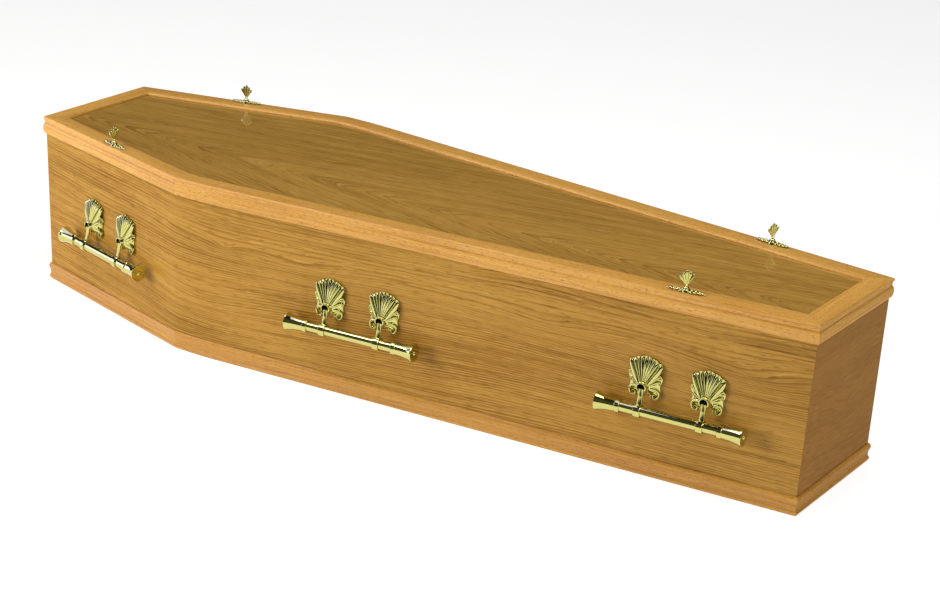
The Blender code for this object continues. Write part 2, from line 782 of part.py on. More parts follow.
def wreath_mesh():
    """Cast leafy plate: a leaf tip at every other corner, highest round its hole. X along the strip."""
    count = 2 * WREATH_LEAVES
    hole = SHANK_RADIUS + SCREW_CLEARANCE
    bm = bmesh.new()
    rings = [[] for _ in range(5)]
    for i in range(count):
        is_tip = i % 2 == 0
        around = Vector((math.cos(math.pi * i / WREATH_LEAVES), math.sin(math.pi * i / WREATH_LEAVES)))
        edge = Vector((around.x * WREATH_LENGTH / 2, around.y * WREATH_WIDTH / 2))
        edge *= 1 if is_tip else LEAF_NOTCH_SHARE
        shoulder = edge * LEAF_SHOULDER_SHARE + around * LEAF_SHOULDER_SHIFT
        rib = LEAF_RIB_LIFT if is_tip else -LEAF_RIB_LIFT
        section = [
            (around * hole, 0),
            (around * hole, WREATH_HEIGHT),
            (around * HEAD_COLLAR_RADIUS, WREATH_HEIGHT),
            (shoulder, WREATH_HEIGHT * LEAF_SHOULDER_SHARE + rib),
            (edge, WREATH_EDGE),
        ]
        for ring, (place, lift) in zip(rings, section):
            ring.append(bm.verts.new((place.x, place.y, lift)))
    rings.append([bm.verts.new((corner.co.x, corner.co.y, 0)) for corner in rings[-1]])
    rings.append(rings[0])
    for inner, outer in zip(rings, rings[1:]):
        for i in range(count):
            j = (i + 1) % count
            bm.faces.new((inner[i], inner[j], outer[j], outer[i]))
    return mesh_from(bm, "wreath_plate")


def make_thumbscrews(boards, lid_pieces, parts, cutters):
    screw = thumbscrew_mesh(parts)
    wreath = wreath_mesh()
    hole_radius = SHANK_RADIUS + SCREW_CLEARANCE
    hole_length = 2 * (LID_DEPTH + SHANK_BITE + GAP)
    for side in (RIGHT, LEFT):
        for end in (HEAD, FOOT):
            label = f"{END_NAMES[end]}_{SIDE_NAMES[side]}"
            from_middle = end * (BOX_LENGTH / 2 - THUMBSCREW_FROM_END)
            place = side_frame(from_middle, side, -BOARD_THICKNESS / 2, HEIGHT)
            turn = Matrix.Rotation(math.radians(THUMBSCREW_TURNS[label]), 4, "Z")
            screw_object = add_object(f"thumbscrew_{label}", screw.copy(), parts)
            screw_object.matrix_world = place @ turn
            brass(screw_object)
            wreath_object = add_object(f"wreath_plate_{label}", wreath.copy(), parts)
            wreath_object.matrix_world = place @ Matrix.Translation((0, 0, GAP))
            brass(wreath_object)
            through = rod_mesh("screw_hole", hole_radius, hole_length, SHANK_SIDES, "Z")
            cutter = make_cutter(f"screw_hole_{label}", through, cutters)
            cutter.matrix_world = place
            boolean(lid_pieces[side, end], cutter, "DIFFERENCE")
            boolean(boards[side], cutter, "DIFFERENCE")


def build():
    clear_scene()
    parts = new_collection("Coffin")
    cutters = new_collection("Cutters")
    boards = make_boards(parts)
    make_moulding("base_moulding", base_moulding_profile(), 0, True, HONEY, parts)
    lid_pieces = make_moulding("lid_moulding", lid_moulding_profile(), BOX_TOP, False, HONEY, parts)
    make_lid_panel(parts)
    make_handles(parts, cutters)
    make_thumbscrews(boards, lid_pieces, parts, cutters)


build()
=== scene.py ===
import math
import bpy
import bmesh
from mathutils import Matrix, Vector


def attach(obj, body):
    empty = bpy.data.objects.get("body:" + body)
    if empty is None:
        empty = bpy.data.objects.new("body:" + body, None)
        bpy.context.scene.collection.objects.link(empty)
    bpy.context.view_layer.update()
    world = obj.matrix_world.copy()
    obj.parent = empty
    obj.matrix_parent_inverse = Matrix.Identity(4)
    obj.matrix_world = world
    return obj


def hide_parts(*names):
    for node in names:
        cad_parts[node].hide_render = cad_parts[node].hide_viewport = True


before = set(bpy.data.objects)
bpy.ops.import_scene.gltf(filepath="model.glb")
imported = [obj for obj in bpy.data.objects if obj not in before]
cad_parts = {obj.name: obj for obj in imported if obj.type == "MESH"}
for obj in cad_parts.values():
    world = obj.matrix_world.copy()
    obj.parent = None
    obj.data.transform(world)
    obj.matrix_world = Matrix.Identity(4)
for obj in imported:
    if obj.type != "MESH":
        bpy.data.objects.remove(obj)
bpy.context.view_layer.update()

# Shader helpers: a socket that does maths, and one method for every other node


class Val:
    def __init__(self, tree, socket):
        self.tree = tree
        self.socket = socket

    def __add__(self, other):
        return self.tree.maths("ADD", self, other)

    def __radd__(self, other):
        return self.tree.maths("ADD", other, self)

    def __sub__(self, other):
        return self.tree.maths("SUBTRACT", self, other)

    def __rsub__(self, other):
        return self.tree.maths("SUBTRACT", other, self)

    def __mul__(self, other):
        return self.tree.maths("MULTIPLY", self, other)

    def __rmul__(self, other):
        return self.tree.maths("MULTIPLY", other, self)

    def __truediv__(self, other):
        return self.tree.maths("DIVIDE", self, other)

    def __rtruediv__(self, other):
        return self.tree.maths("DIVIDE", other, self)

    def __pow__(self, other):
        return self.tree.maths("POWER", self, other)


class Tree:
    def __init__(self, nodeTree):
        self.nodes = nodeTree.nodes
        self.links = nodeTree.links

    def plug(self, value, socket):
        if isinstance(value, Val):
            self.links.new(value.socket, socket)
        else:
            socket.default_value = value

    def node(self, kind, settings, sockets, out=0):
        made = self.nodes.new(kind)
        for key, value in settings.items():
            setattr(made, key, value)
        for key, value in sockets.items():
            self.plug(value, made.inputs[key])
        return Val(self, made.outputs[out])

    def maths(self, operation, a, b):
        return self.node("ShaderNodeMath", {"operation": operation}, {0: a, 1: b})

    def one(self, operation, a):
        return self.node("ShaderNodeMath", {"operation": operation}, {0: a})

    def apart(self, vector):
        made = self.nodes.new("ShaderNodeSeparateXYZ")
        self.plug(vector, made.inputs[0])
        return [Val(self, output) for output in made.outputs]

    def place(self, x, y, z):
        return self.node("ShaderNodeCombineXYZ", {}, {0: x, 1: y, 2: z})

    def noise(self, place, detail=2.0, rough=0.5):
        sockets = {"Vector": place, "Scale": 1.0, "Detail": detail, "Roughness": rough}
        return self.node("ShaderNodeTexNoise", {}, sockets)

    def step(self, value, low, high):  # 0 below low, 1 above high, smooth between
        sockets = {"Value": value, "From Min": low, "From Max": high}
        return self.node("ShaderNodeMapRange", {"interpolation_type": "SMOOTHSTEP"}, sockets)

    def mix(self, share, first, second):
        made = self.nodes.new("ShaderNodeMix")
        made.data_type = "RGBA"
        self.plug(share, made.inputs[0])
        for value, socket in ((first, made.inputs[6]), (second, made.inputs[7])):
            self.plug(value if isinstance(value, Val) else (*value, 1), socket)
        return Val(self, made.outputs[2])


class Finish(Tree):
    def __init__(self, name, coat=0.0, coatRough=0.04, metallic=0.0):
        self.material = bpy.data.materials.new(name)
        self.material.use_nodes = True
        super().__init__(self.material.node_tree)
        self.shader = self.nodes["Principled BSDF"]
        self.shader.inputs["Coat Weight"].default_value = coat
        self.shader.inputs["Coat Roughness"].default_value = coatRough
        self.shader.inputs["Metallic"].default_value = metallic
        self.shader.inputs["Specular IOR Level"].default_value = 0.5 if metallic else 0.0

    def grain(self):  # metres along the grain, metres across it, and a number of its own for each piece
        place = self.node("ShaderNodeAttribute", {"attribute_name": "grain"}, {}, out=1)
        return self.apart(place)

    def bump(self, height, distance, strength=1.0):
        sockets = {"Height": height, "Distance": distance, "Strength": strength}
        normal = self.node("ShaderNodeBump", {}, sockets)
        self.plug(normal, self.shader.inputs["Normal"])

    def colour(self, value):
        self.plug(value if isinstance(value, Val) else (*value, 1), self.shader.inputs["Base Color"])

    def roughness(self, value):
        self.plug(value, self.shader.inputs["Roughness"])


# Oak: rings cut by the board, wandering with slow noise, then pores and pale flecks along the grain

# a heart is (along, across, reach, height, rings): an eye or a flame of lines where the cut grazes the rings
sideHearts = [(0.65, 0.264, 0.040, 0.012, 3.0), (0.84, 0.262, 0.20, 0.032, 7.0),
              (1.40, 0.268, 0.20, 0.034, 8.0), (1.84, 0.258, 0.16, 0.030, 6.0),
              (0.20, 0.235, 0.18, 0.036, 5.0), (0.60, 0.13, 0.30, 0.10, 10.0)]
veneerLook = {"ringsPerMetre": 180, "crowd": 170, "sweep": 14.0, "sweepAlong": 1.0, "sweepAcross": 3.4,
              "waver": 1.0, "light": (0.465, 0.245, 0.046), "dark": (0.190, 0.080, 0.008),
              "tint": (0.35, 0.165, 0.022), "pale": (0.60, 0.345, 0.085), "lineDepth": 0.72, "sharp": 2.6,
              "streaks": 1.9, "fleck": 0.50, "poreDepth": 0.70, "poreLong": 30, "poreAcross": 520,
              "rough": 0.36, "coat": 0.22, "coatRough": 0.06, "hearts": sideHearts, "arches": None}
# arches are (middle across, rings for a metre across, rings for a metre along, roundness of the tip)
panelLook = {"ringsPerMetre": 0, "crowd": 110, "sweep": 5.0, "sweepAlong": 1.1, "sweepAcross": 5.0,
             "waver": 2.0, "light": (0.50, 0.275, 0.052), "dark": (0.24, 0.112, 0.014),
             "tint": (0.41, 0.210, 0.033), "pale": (0.66, 0.40, 0.11), "lineDepth": 0.54, "sharp": 2.6,
             "streaks": 1.4, "fleck": 0.45, "poreDepth": 0.60, "poreLong": 24, "poreAcross": 480,
             "rough": 0.32, "coat": 1.0, "coatRough": 0.04, "hearts": [], "arches": (-0.09, 105, 20, 2.5)}
mouldingLook = {"ringsPerMetre": 60, "crowd": 60, "sweep": 2.0, "sweepAlong": 0.9, "sweepAcross": 6.0,
                "waver": 0.6, "light": (0.68, 0.360, 0.080), "dark": (0.41, 0.166, 0.024),
                "tint": (0.60, 0.285, 0.052), "pale": (0.78, 0.48, 0.16), "lineDepth": 0.16, "sharp": 2.0,
                "streaks": 1.5, "fleck": 0.45, "poreDepth": 0.75, "poreLong": 130, "poreAcross": 620,
                "rough": 0.28, "coat": 0.55, "coatRough": 0.09, "hearts": [], "arches": None}
baseLook = dict(mouldingLook, light=(0.55, 0.275, 0.054), dark=(0.33, 0.133, 0.018),
                tint=(0.48, 0.220, 0.036), pale=(0.66, 0.36, 0.09))
endCoat = 0.15
endLook = dict(veneerLook, light=(0.37, 0.172, 0.030), dark=(0.24, 0.098, 0.012), tint=(0.32, 0.140, 0.020),
               pale=(0.52, 0.26, 0.06), coat=0.12, ringsPerMetre=70, crowd=70, sweep=8.0, lineDepth=0.25,
               streaks=0.80, hearts=[(0.17, 0.18, 0.10, 0.05, 3.0)])
woodLayers = {  # repeats for a metre along and across, seed, detail and roughness of the noise
    "quick": (5, 34, 7, 2.5, 0.5), "streaks": (3, 260, 5, 3.0, 0.6), "cloud": (2.2, 9, 11, 3.0, 0.5),
    "fleck": (16, 330, 17, 2.0, 0.6)}
woodSteps = {"pore": (0.54, 0.70), "fleck": (0.54, 0.72), "line": (0.3, 0.65), "tint": (0.45, 0.8)}
woodShares = {"heartRound": 0.04, "broadRings": 5.3, "broad": 0.16, "cloud": 0.5, "ground": 0.12,
              "faintLine": 0.35, "tint": 0.35, "faintPore": 0.55, "poreShade": 0.6, "poreRough": 0.10,
              "cloudRough": 0.06, "poreDip": 0.7, "ringDip": 0.3, "dipDepth": 0.0001, "dipStrength": 0.4}


def oak(name, look, fromObject=False):
    wood = Finish(name, look["coat"], look["coatRough"])
    shares = woodShares
    if fromObject:
        along, across, seed = wood.apart(wood.node("ShaderNodeTexCoord", {}, {}, out=3))
    else:
        along, across, seed = wood.grain()

    def layer(kind, lane):
        long, wide, shift, detail, rough = woodLayers[kind]
        return wood.noise(wood.place(along * long, lane * wide, seed + shift), detail, rough)

    def swing(value):
        return wood.one("SINE", value) * 0.5 + 0.5

    slow = wood.noise(wood.place(along * look["sweepAlong"], across * look["sweepAcross"], seed), 1.5, 0.45)
    quick = layer("quick", across)
    rings = across * look["ringsPerMetre"] + (slow - 0.5) * look["sweep"] + (quick - 0.5) * look["waver"]
    for middle, height, reach, tall, depth in look["hearts"]:
        far = ((along - middle) / reach) ** 2 + ((across - height) / tall) ** 2
        fade = wood.one("EXPONENT", 0.0 - wood.one("SQRT", far + shares["heartRound"]))
        rings = rings + fade * depth
    if look["arches"]:
        middle, crowd, steep, tip = look["arches"]
        rings = rings + wood.one("SQRT", ((across - middle) * crowd) ** 2 + tip) - along * steep
    wave = swing(rings * (2 * math.pi))
    broad = swing(rings * (2 * math.pi / shares["broadRings"]))
    lane = rings / look["crowd"]  # lines, streaks and pores all follow the rings
    streaks = layer("streaks", lane)
    cloud = layer("cloud", across)
    pores = wood.noise(wood.place(along * look["poreLong"], lane * look["poreAcross"], seed + 3), 2.0, 0.6)
    pore = wood.step(pores, *woodSteps["pore"])
    late = wood.one("FRACT", rings) ** look["sharp"]
    line = late * (shares["faintLine"] + (1 - shares["faintLine"]) * wood.step(cloud, *woodSteps["line"]))
    shade = line * look["lineDepth"] + broad * shares["broad"] + (cloud - 0.5) * shares["cloud"]
    shade = shade + (streaks - 0.5) * look["streaks"] + shares["ground"]
    body = wood.mix(wood.step(shade, 0.0, 1.0), look["light"], look["dark"])
    body = wood.mix(wood.step(cloud, *woodSteps["tint"]) * shares["tint"], body, look["tint"])
    fleck = wood.step(layer("fleck", lane), *woodSteps["fleck"])
    body = wood.mix(fleck * look["fleck"], body, look["pale"])
    poreShare = pore * (shares["faintPore"] + (1 - shares["faintPore"]) * wave) * look["poreDepth"]
    wood.colour(wood.mix(poreShare, body, tuple(c * shares["poreShade"] for c in look["dark"])))
    wood.roughness(look["rough"] + pore * shares["poreRough"] + (cloud - 0.5) * shares["cloudRough"])
    dips = 0.0 - pore * shares["poreDip"] - wave * shares["ringDip"]
    wood.bump(dips, shares["dipDepth"], shares["dipStrength"])
    return wood.material


# Polished brass, clear-lacquered: faint polishing clouds, and painted shade inside the sockets: walls,
# floor, pins, knuckles and strap tops coloured near-black

# socketShade is the painted shade colour for the insides of the sockets
brassLook = {"colour": (0.63, 0.595, 0.180), "deep": (0.52, 0.47, 0.12), "socketShade": (0.012, 0.010, 0.006),
             "rough": 0.05, "coat": 0.5, "cloudScale": 60.0, "fineScale": 700.0, "deepShare": 0.25,
             "cloudRough": 0.04, "socketShadeRough": 0.6, "dipDepth": 0.00004, "dipStrength": 0.15}


def polishedBrass():
    look = brassLook
    brass = Finish("polishedBrass", coat=look["coat"], metallic=1.0)
    place = brass.node("ShaderNodeTexCoord", {}, {}, out=3)
    cloud, fine = (brass.noise(brass.node("ShaderNodeVectorMath", {"operation": "SCALE"},
                                          {0: place, 3: look[scale]}), detail)
                   for scale, detail in (("cloudScale", 3.0), ("fineScale", 2.0)))
    # painted shade: where this attribute is 1 the colour goes near-black, rougher and without lacquer
    socketShade = brass.node("ShaderNodeAttribute", {"attribute_name": "socketShade"}, {}, out=2)
    tone = brass.mix(brass.step(cloud, 0.35, 0.75) * look["deepShare"], look["colour"], look["deep"])
    brass.colour(brass.mix(socketShade, tone, look["socketShade"]))
    dull = brass.step(cloud, 0.5, 0.8) * look["cloudRough"]
    brass.roughness(look["rough"] + dull + socketShade * look["socketShadeRough"])
    brass.plug(look["coat"] * (1.0 - socketShade), brass.shader.inputs["Coat Weight"])
    brass.bump(fine, look["dipDepth"], look["dipStrength"])
    return brass.material


# Plan of the box, left side, mirrored for the right; the same sizes as the solids

plan = {"length": 1.950, "headWidth": 0.330, "shoulderWidth": 0.604, "footWidth": 0.312,
        "shoulderFromHead": 0.533, "height": 0.393, "endLean": 0.009, "board": 0.015, "gap": 0.0003,
        "lidDepth": 0.042, "mitreBefore": 0.022, "bendPast": 0.095, "bendSteps": 24, "cornerRadius": 0.120,
        "cornerSteps": 8}
plan["boxTop"] = plan["height"] - plan["lidDepth"] - plan["gap"]
right, left, head, foot = -1, 1, -1, 1
sideNames = {right: "right", left: "left"}
endNames = {head: "head", foot: "foot"}
coffin = "coffin"


def shoulderPoint():
    return Vector((plan["shoulderFromHead"] - plan["length"] / 2, plan["shoulderWidth"] / 2))


def sideDirection(end):
    width = plan["headWidth"] if end == head else plan["footWidth"]
    corner = Vector((end * plan["length"] / 2, width / 2))
    return ((corner - shoulderPoint()) * end).normalized()


def outwardOf(direction):
    return Vector((-direction.y, direction.x))


def mitreShift(first, second):
    return (first + second) / (1 + first.dot(second))


def turnBy(vector, angle):
    turned = vector.copy()
    turned.rotate(Matrix.Rotation(angle, 2))
    return turned


# a station is a point, its shift for a metre outwards and its lean for a metre up


def cornerStation(end, height, leans):
    along = sideDirection(end)
    start = shoulderPoint()
    x = end * (plan["length"] / 2 - plan["endLean"] * (1 - height / plan["boxTop"]))
    point = start + along * ((x - start.x) / along.x)
    lean = along * (end * plan["endLean"] / plan["boxTop"] / along.x) if leans else Vector((0, 0))
    return point, mitreShift(outwardOf(along), Vector((end, 0))), lean


def bendCentre():
    mitre = shoulderPoint() - sideDirection(head) * plan["mitreBefore"]
    finish = shoulderPoint() + sideDirection(foot) * plan["bendPast"]
    normal = outwardOf(sideDirection(foot))
    chord = finish - mitre
    radius = chord.length_squared / (2 * chord.dot(normal))
    return mitre, finish - normal * radius, radius


def bendStations(skip=0.0):
    mitre, centre, radius = bendCentre()
    first = (mitre - centre).normalized()
    turn = first.angle_signed(outwardOf(sideDirection(foot)))
    stations = []
    for i in range(plan["bendSteps"] + 1):
        share = skip / (turn * radius) + (1 - skip / (turn * radius)) * i / plan["bendSteps"]
        normal = turnBy(first, -turn * share)
        stations.append((centre + normal * radius, normal, Vector((0, 0))))
    return stations


def boardStations(height):
    mitre, centre = bendCentre()[:2]
    startNormal = outwardOf(sideDirection(head))
    turn = startNormal.angle_signed((mitre - centre).normalized())
    setback = plan["cornerRadius"] * math.tan(turn / 2)
    middle = mitre - sideDirection(head) * setback - startNormal * plan["cornerRadius"]
    corner = []
    for i in range(plan["cornerSteps"] + 1):
        normal = turnBy(startNormal, -turn * i / plan["cornerSteps"])
        corner.append((middle + normal * plan["cornerRadius"], normal, Vector((0, 0))))
    bend = bendStations(2 * setback)
    return [cornerStation(head, height, True), *corner, *bend[1:], cornerStation(foot, height, True)]


def mouldingStations(height, leans):
    mitre, centre = bendCentre()[:2]
    first = (mitre - centre).normalized()
    middle = (mitre, mitreShift(outwardOf(sideDirection(head)), first), Vector((0, 0)))
    return ([cornerStation(head, height, leans), middle],
            [middle, *bendStations()[1:], cornerStation(foot, height, leans)])


def crossStations(end, height, leans):
    flip = Vector((1, -1))
    point, shift, lean = cornerStation(end, height, leans)
    return [(point * flip, shift * flip, lean * flip), (point, shift, lean)]


def pulledIn(stations):
    moved = list(stations)
    for index, inner in ((0, 1), (-1, -2)):
        point, shift, lean = stations[index]
        across = Vector((-shift.y, shift.x)).normalized()
        if across.dot(stations[inner][0] - point) < 0:
            across = -across
        moved[index] = (point + across * plan["gap"] / 2, shift, lean)
    return moved


def arc(middle, radii, start, end, steps):
    points = []
    for i in range(steps + 1):
        angle = math.radians(start + (end - start) * i / steps)
        points.append((middle[0] + radii[0] * math.cos(angle), middle[1] + radii[1] * math.sin(angle)))
    return points


# Making and placing pieces


def finishMesh(bm, name, smoothAngle=38):
    bmesh.ops.recalc_face_normals(bm, faces=bm.faces)
    mesh = bpy.data.meshes.new(name)
    bm.to_mesh(mesh)
    bm.free()
    mesh.polygons.foreach_set("use_smooth", [True] * len(mesh.polygons))
    mesh.set_sharp_from_angle(angle=math.radians(smoothAngle))
    return mesh


def setPiece(name, mesh, material, body, nodes, matrix=None):
    piece = bpy.data.objects.new(name, mesh)
    bpy.context.scene.collection.objects.link(piece)
    if matrix is not None:
        piece.matrix_world = matrix
    if not mesh.materials:
        mesh.materials.append(material)
    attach(piece, body)
    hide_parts(*nodes)
    return piece


def loft(name, stations, profile, side=left, seed=0.0):
    # each corner keeps its place in the grain: along the run and across the profile
    bm = bmesh.new()
    layer = bm.verts.layers.float_vector.new("grain")
    acrosses = [0.0]
    for (out, height), (nextOut, nextHeight) in zip(profile, profile[1:]):
        acrosses.append(acrosses[-1] + math.hypot(nextOut - out, nextHeight - height))
    rings = []
    run = 0.0
    before = None
    for point, shift, lean in pulledIn(stations):
        run += (point - before).length if before is not None else 0.0
        before = point
        ring = []
        for (out, height), across in zip(profile, acrosses):
            place = point + shift * out + lean * height
            vert = bm.verts.new((place.x, place.y * side, height))
            vert[layer] = (run, across, seed)
            ring.append(vert)
        rings.append(ring)
    count = len(profile)
    for near, far in zip(rings, rings[1:]):
        for i in range(count):
            bm.faces.new((near[i], near[(i + 1) % count], far[(i + 1) % count], far[i]))
    bm.faces.new(rings[0])
    bm.faces.new(reversed(rings[-1]))
    return finishMesh(bm, name)


# Boards

boardEdge = {"round": 0.0006}


def boardProfile():
    thick, top, soft = plan["board"], plan["boxTop"], boardEdge["round"]
    return [(0, 0), (0, top - soft), (-soft, top), (-thick + soft, top), (-thick, top - soft), (-thick, 0)]


def makeBoards():
    veneer = oak("oakVeneerSides", veneerLook)
    endVeneer = oak("oakVeneerEnds", endLook)
    for side in (right, left):
        node = f"side_board_{sideNames[side]}"
        mesh = loft(node, boardStations(0), boardProfile(), side, 2.0 if side == right else 5.0)
        setPiece(f"veneered_{node}", mesh, veneer, coffin, [node])
    for end in (head, foot):
        node = f"{endNames[end]}_board"
        mesh = loft(node, crossStations(end, 0, True), boardProfile(), left, 9.0 + end)
        setPiece(f"veneered_{node}", mesh, endVeneer, coffin, [node])
    for node, name in (("lid_panel", "oakPanel"), ("base_board", "baseUnderside")):
        material = oak(name, panelLook, True)
        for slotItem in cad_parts[node].material_slots:
            slotItem.material = material
    print("boards made")


# Mouldings

lidSection = {"sink": 0.006, "flat": 0.036, "slope": 0.011, "toe": 0.0015, "nosingReach": 0.0055,
              "nosingRadius": 0.004, "bellyReach": 0.006, "bellyDrop": 0.028, "bellyRise": 0.012,
              "quirkReach": 0.0025, "quirkDrop": 0.012}
baseSection = {"height": 0.038, "reach": 0.0055, "nose": 0.030, "coveReach": 0.0022, "bead": 0.005,
               "beadRadius": 0.004, "coveSteps": 8}


def lidProfile():
    s, depth, thick = lidSection, plan["lidDepth"], plan["board"]
    low = arc((0, -s["bellyDrop"]), (s["bellyReach"], depth - s["bellyDrop"]), -90, 0, 12)
    bellyWidth = s["bellyReach"] - s["quirkReach"]
    high = arc((s["quirkReach"], -s["bellyDrop"]), (bellyWidth, s["bellyRise"]), 0, 90, 9)[1:]
    nosingMiddle = (s["nosingReach"] - s["nosingRadius"], -s["nosingRadius"])
    nosing = arc(nosingMiddle, (s["nosingRadius"],) * 2, -60, 90, 10)
    flatEnd = s["nosingReach"] - s["flat"]
    slope = arc((flatEnd, s["toe"] - s["sink"]), (s["slope"], s["sink"] - s["toe"]), 90, 180, 10)
    section = [*low, *high, (s["quirkReach"], -s["quirkDrop"]), *nosing, *slope]
    section += [(flatEnd - s["slope"], -s["sink"]), (-thick, -s["sink"]), (-thick, -depth)]
    return [(out, plan["height"] + drop) for out, drop in section]


def baseProfile():
    s, gap = baseSection, plan["gap"]
    bead = arc((s["reach"] - s["beadRadius"], s["bead"]), (s["beadRadius"],) * 2, -60, 60, 8)
    nose = arc((gap, s["nose"]), (s["reach"] - gap, s["height"] - s["nose"]), -45, 90, 12)
    cove = []
    for i in range(1, s["coveSteps"]):  # a hollow curve between the bead's top and the nose's underside
        share = i / s["coveSteps"]
        low, high = bead[-1], nose[0]
        straight = low[0] + (high[0] - low[0]) * share
        dip = min(low[0], high[0]) - s["coveReach"]
        cove.append((straight - dip * math.sin(math.pi * share), low[1] + (high[1] - low[1]) * share))
    return [(gap, 0), (bead[0][0], 0), *bead, *cove, *nose]


def makeMoulding(kind, profile, height, leans, sideOak, endOak):
    seed = 20.0 if kind == "lid_moulding" else 40.0
    for side in (right, left):
        for end, stations in zip((head, foot), mouldingStations(height, leans)):
            seed += 1.3
            node = f"{kind}_{sideNames[side]}_{endNames[end]}"
            mesh = loft(node, stations, profile, side, seed)
            setPiece(f"shaped_{node}", mesh, sideOak, coffin, [node])
    for end in (head, foot):
        seed += 1.3
        node = f"{kind}_{endNames[end]}"
        mesh = loft(node, crossStations(end, height, leans), profile, left, seed)
        setPiece(f"shaped_{node}", mesh, endOak, coffin, [node])


# Strokes: tapered, rounded ribs that follow a curve, as a carver or pattern maker builds up a leaf


def smoothThrough(points, steps):  # points of any length, through a Catmull-Rom curve
    first = [2 * a - b for a, b in zip(points[0], points[1])]
    last = [2 * a - b for a, b in zip(points[-1], points[-2])]
    chain = [first, *points, last]
    made = []
    for i in range(len(points) - 1):
        p0, p1, p2, p3 = chain[i:i + 4]
        for k in range(steps):
            t = k / steps
            made.append([0.5 * (2 * b + (c - a) * t + (2 * a - 5 * b + 4 * c - d) * t * t
                                + (3 * b - a - 3 * c + d) * t ** 3) for a, b, c, d in zip(p0, p1, p2, p3)])
    made.append(list(points[-1]))
    return made


def addStroke(bm, points, flatness=0.5, sides=10, steps=4, up=Vector((0, 1, 0))):
    # points are (x, out, z, width) in millimetres, and the stroke's height is flatness times its width
    path = smoothThrough(points, steps)
    places = [Vector(p[:3]) / 1000 for p in path]
    widths = [max(p[3], 0.3) / 2000 for p in path]
    rings = []
    count = len(places)
    for i, place in enumerate(places):
        ahead = places[min(i + 1, count - 1)] - places[max(i - 1, 0)]
        across = ahead.cross(up).normalized()
        over = across.cross(ahead).normalized()
        ring = []
        for k in range(sides):
            angle = 2 * math.pi * k / sides
            spot = place + (across * math.cos(angle) + over * math.sin(angle) * flatness * 2) * widths[i]
            ring.append(bm.verts.new(spot))
        rings.append(ring)
    for near, far in zip(rings, rings[1:]):
        for k in range(sides):
            bm.faces.new((near[k], near[(k + 1) % sides], far[(k + 1) % sides], far[k]))
    for ring, inner, inward in ((rings[0], rings[1], 1), (rings[-1], rings[-2], -1)):
        middle = sum((v.co for v in ring), Vector()) / sides
        other = sum((v.co for v in inner), Vector()) / sides
        tip = bm.verts.new(middle + (middle - other).normalized() * widths[0 if inward > 0 else -1] * 0.7)
        for k in range(sides):
            bm.faces.new((ring[k], ring[(k + 1) % sides], tip))


def mirrored(points):
    return [(-x, out, z, width) for x, out, z, width in points]


def addTurned(bm, profile, sides, matrix=None):  # profile of (radius, place along Z), in metres
    rings = []
    for radius, place in profile:
        ring = []
        for k in range(sides if radius > 0 else 1):
            angle = 2 * math.pi * (k + 0.5) / sides
            spot = Vector((radius * math.cos(angle), radius * math.sin(angle), place))
            ring.append(bm.verts.new(matrix @ spot if matrix is not None else spot))
        rings.append(ring)
    for low, high in zip(rings, rings[1:]):
        for k in range(sides):
            j = (k + 1) % sides
            corners = [low[k % len(low)], low[j % len(low)], high[j % len(high)], high[k % len(high)]]
            bm.faces.new(list(dict.fromkeys(corners)))


# Handles

handle = {"fromHead": 0.262, "fromFoot": 0.2655, "platePitch": 0.130, "pivotHeight": 0.191,
          "pivotOff": 0.0185, "barDrop": 0.046, "barOff": 0.028, "barLength": 0.312, "barRadius": 0.0102,
          "capLength": 0.054, "rim": 0.019, "waist": 0.0128, "collar": 0.0140, "dome": 0.003, "band": 0.0085,
          "neck": 0.0135, "flareSteps": 12, "flareStraight": 0.35, "flarePower": 2.4, "boss": 0.0046}
plateCast = {"socket": 0.0078, "collarWall": 0.003, "collarHeight": 0.024, "floor": 0.0125, "lip": 0.016,
             "edge": 0.0025, "slotHalf": 54, "dome": 0.0145, "domePower": 1.45, "slotDome": 0.3,
             "domeSteps": 8, "angleStep": 3, "eye": 0.0006, "round": 0.0008}
# outline of the cast plate, from straight down to straight up: (angle, radius) in degrees and millimetres
plateOutline = [(0, 13.5), (16, 15), (26, 20), (33, 29), (39, 33.5), (45, 35.4), (55, 36.2), (65, 35.8),
                (72, 34.3), (82, 32.1), (92, 31.0), (99, 32.0), (106, 35.2), (113, 38.6), (120, 40.2),
                (126, 40.8), (131, 39.3), (135, 37.8), (138, 43), (141, 52.5), (145, 57.2), (149, 57.4),
                (153, 54.4), (157, 57.0), (162, 58.5), (166, 58.0), (170, 55.4), (174, 58.8), (180, 59.6)]
# ribs of the fan: (angle, reach, width), each from the collar to the scalloped edge
fanRoot = 12.5
fanRibs = [(180, 58.8, 6.2), (171.5, 58.2, 6.0), (163, 57.4, 6.4), (154.5, 56.4, 6.4)]
fanRibShape = [  # (share of the reach, height in millimetres, share of the width)
    (0, 17.0, 0.46), (0.28, 13.6, 0.66), (0.6, 10.2, 0.9), (0.86, 6.4, 1.05), (1, 3.4, 0.62)]
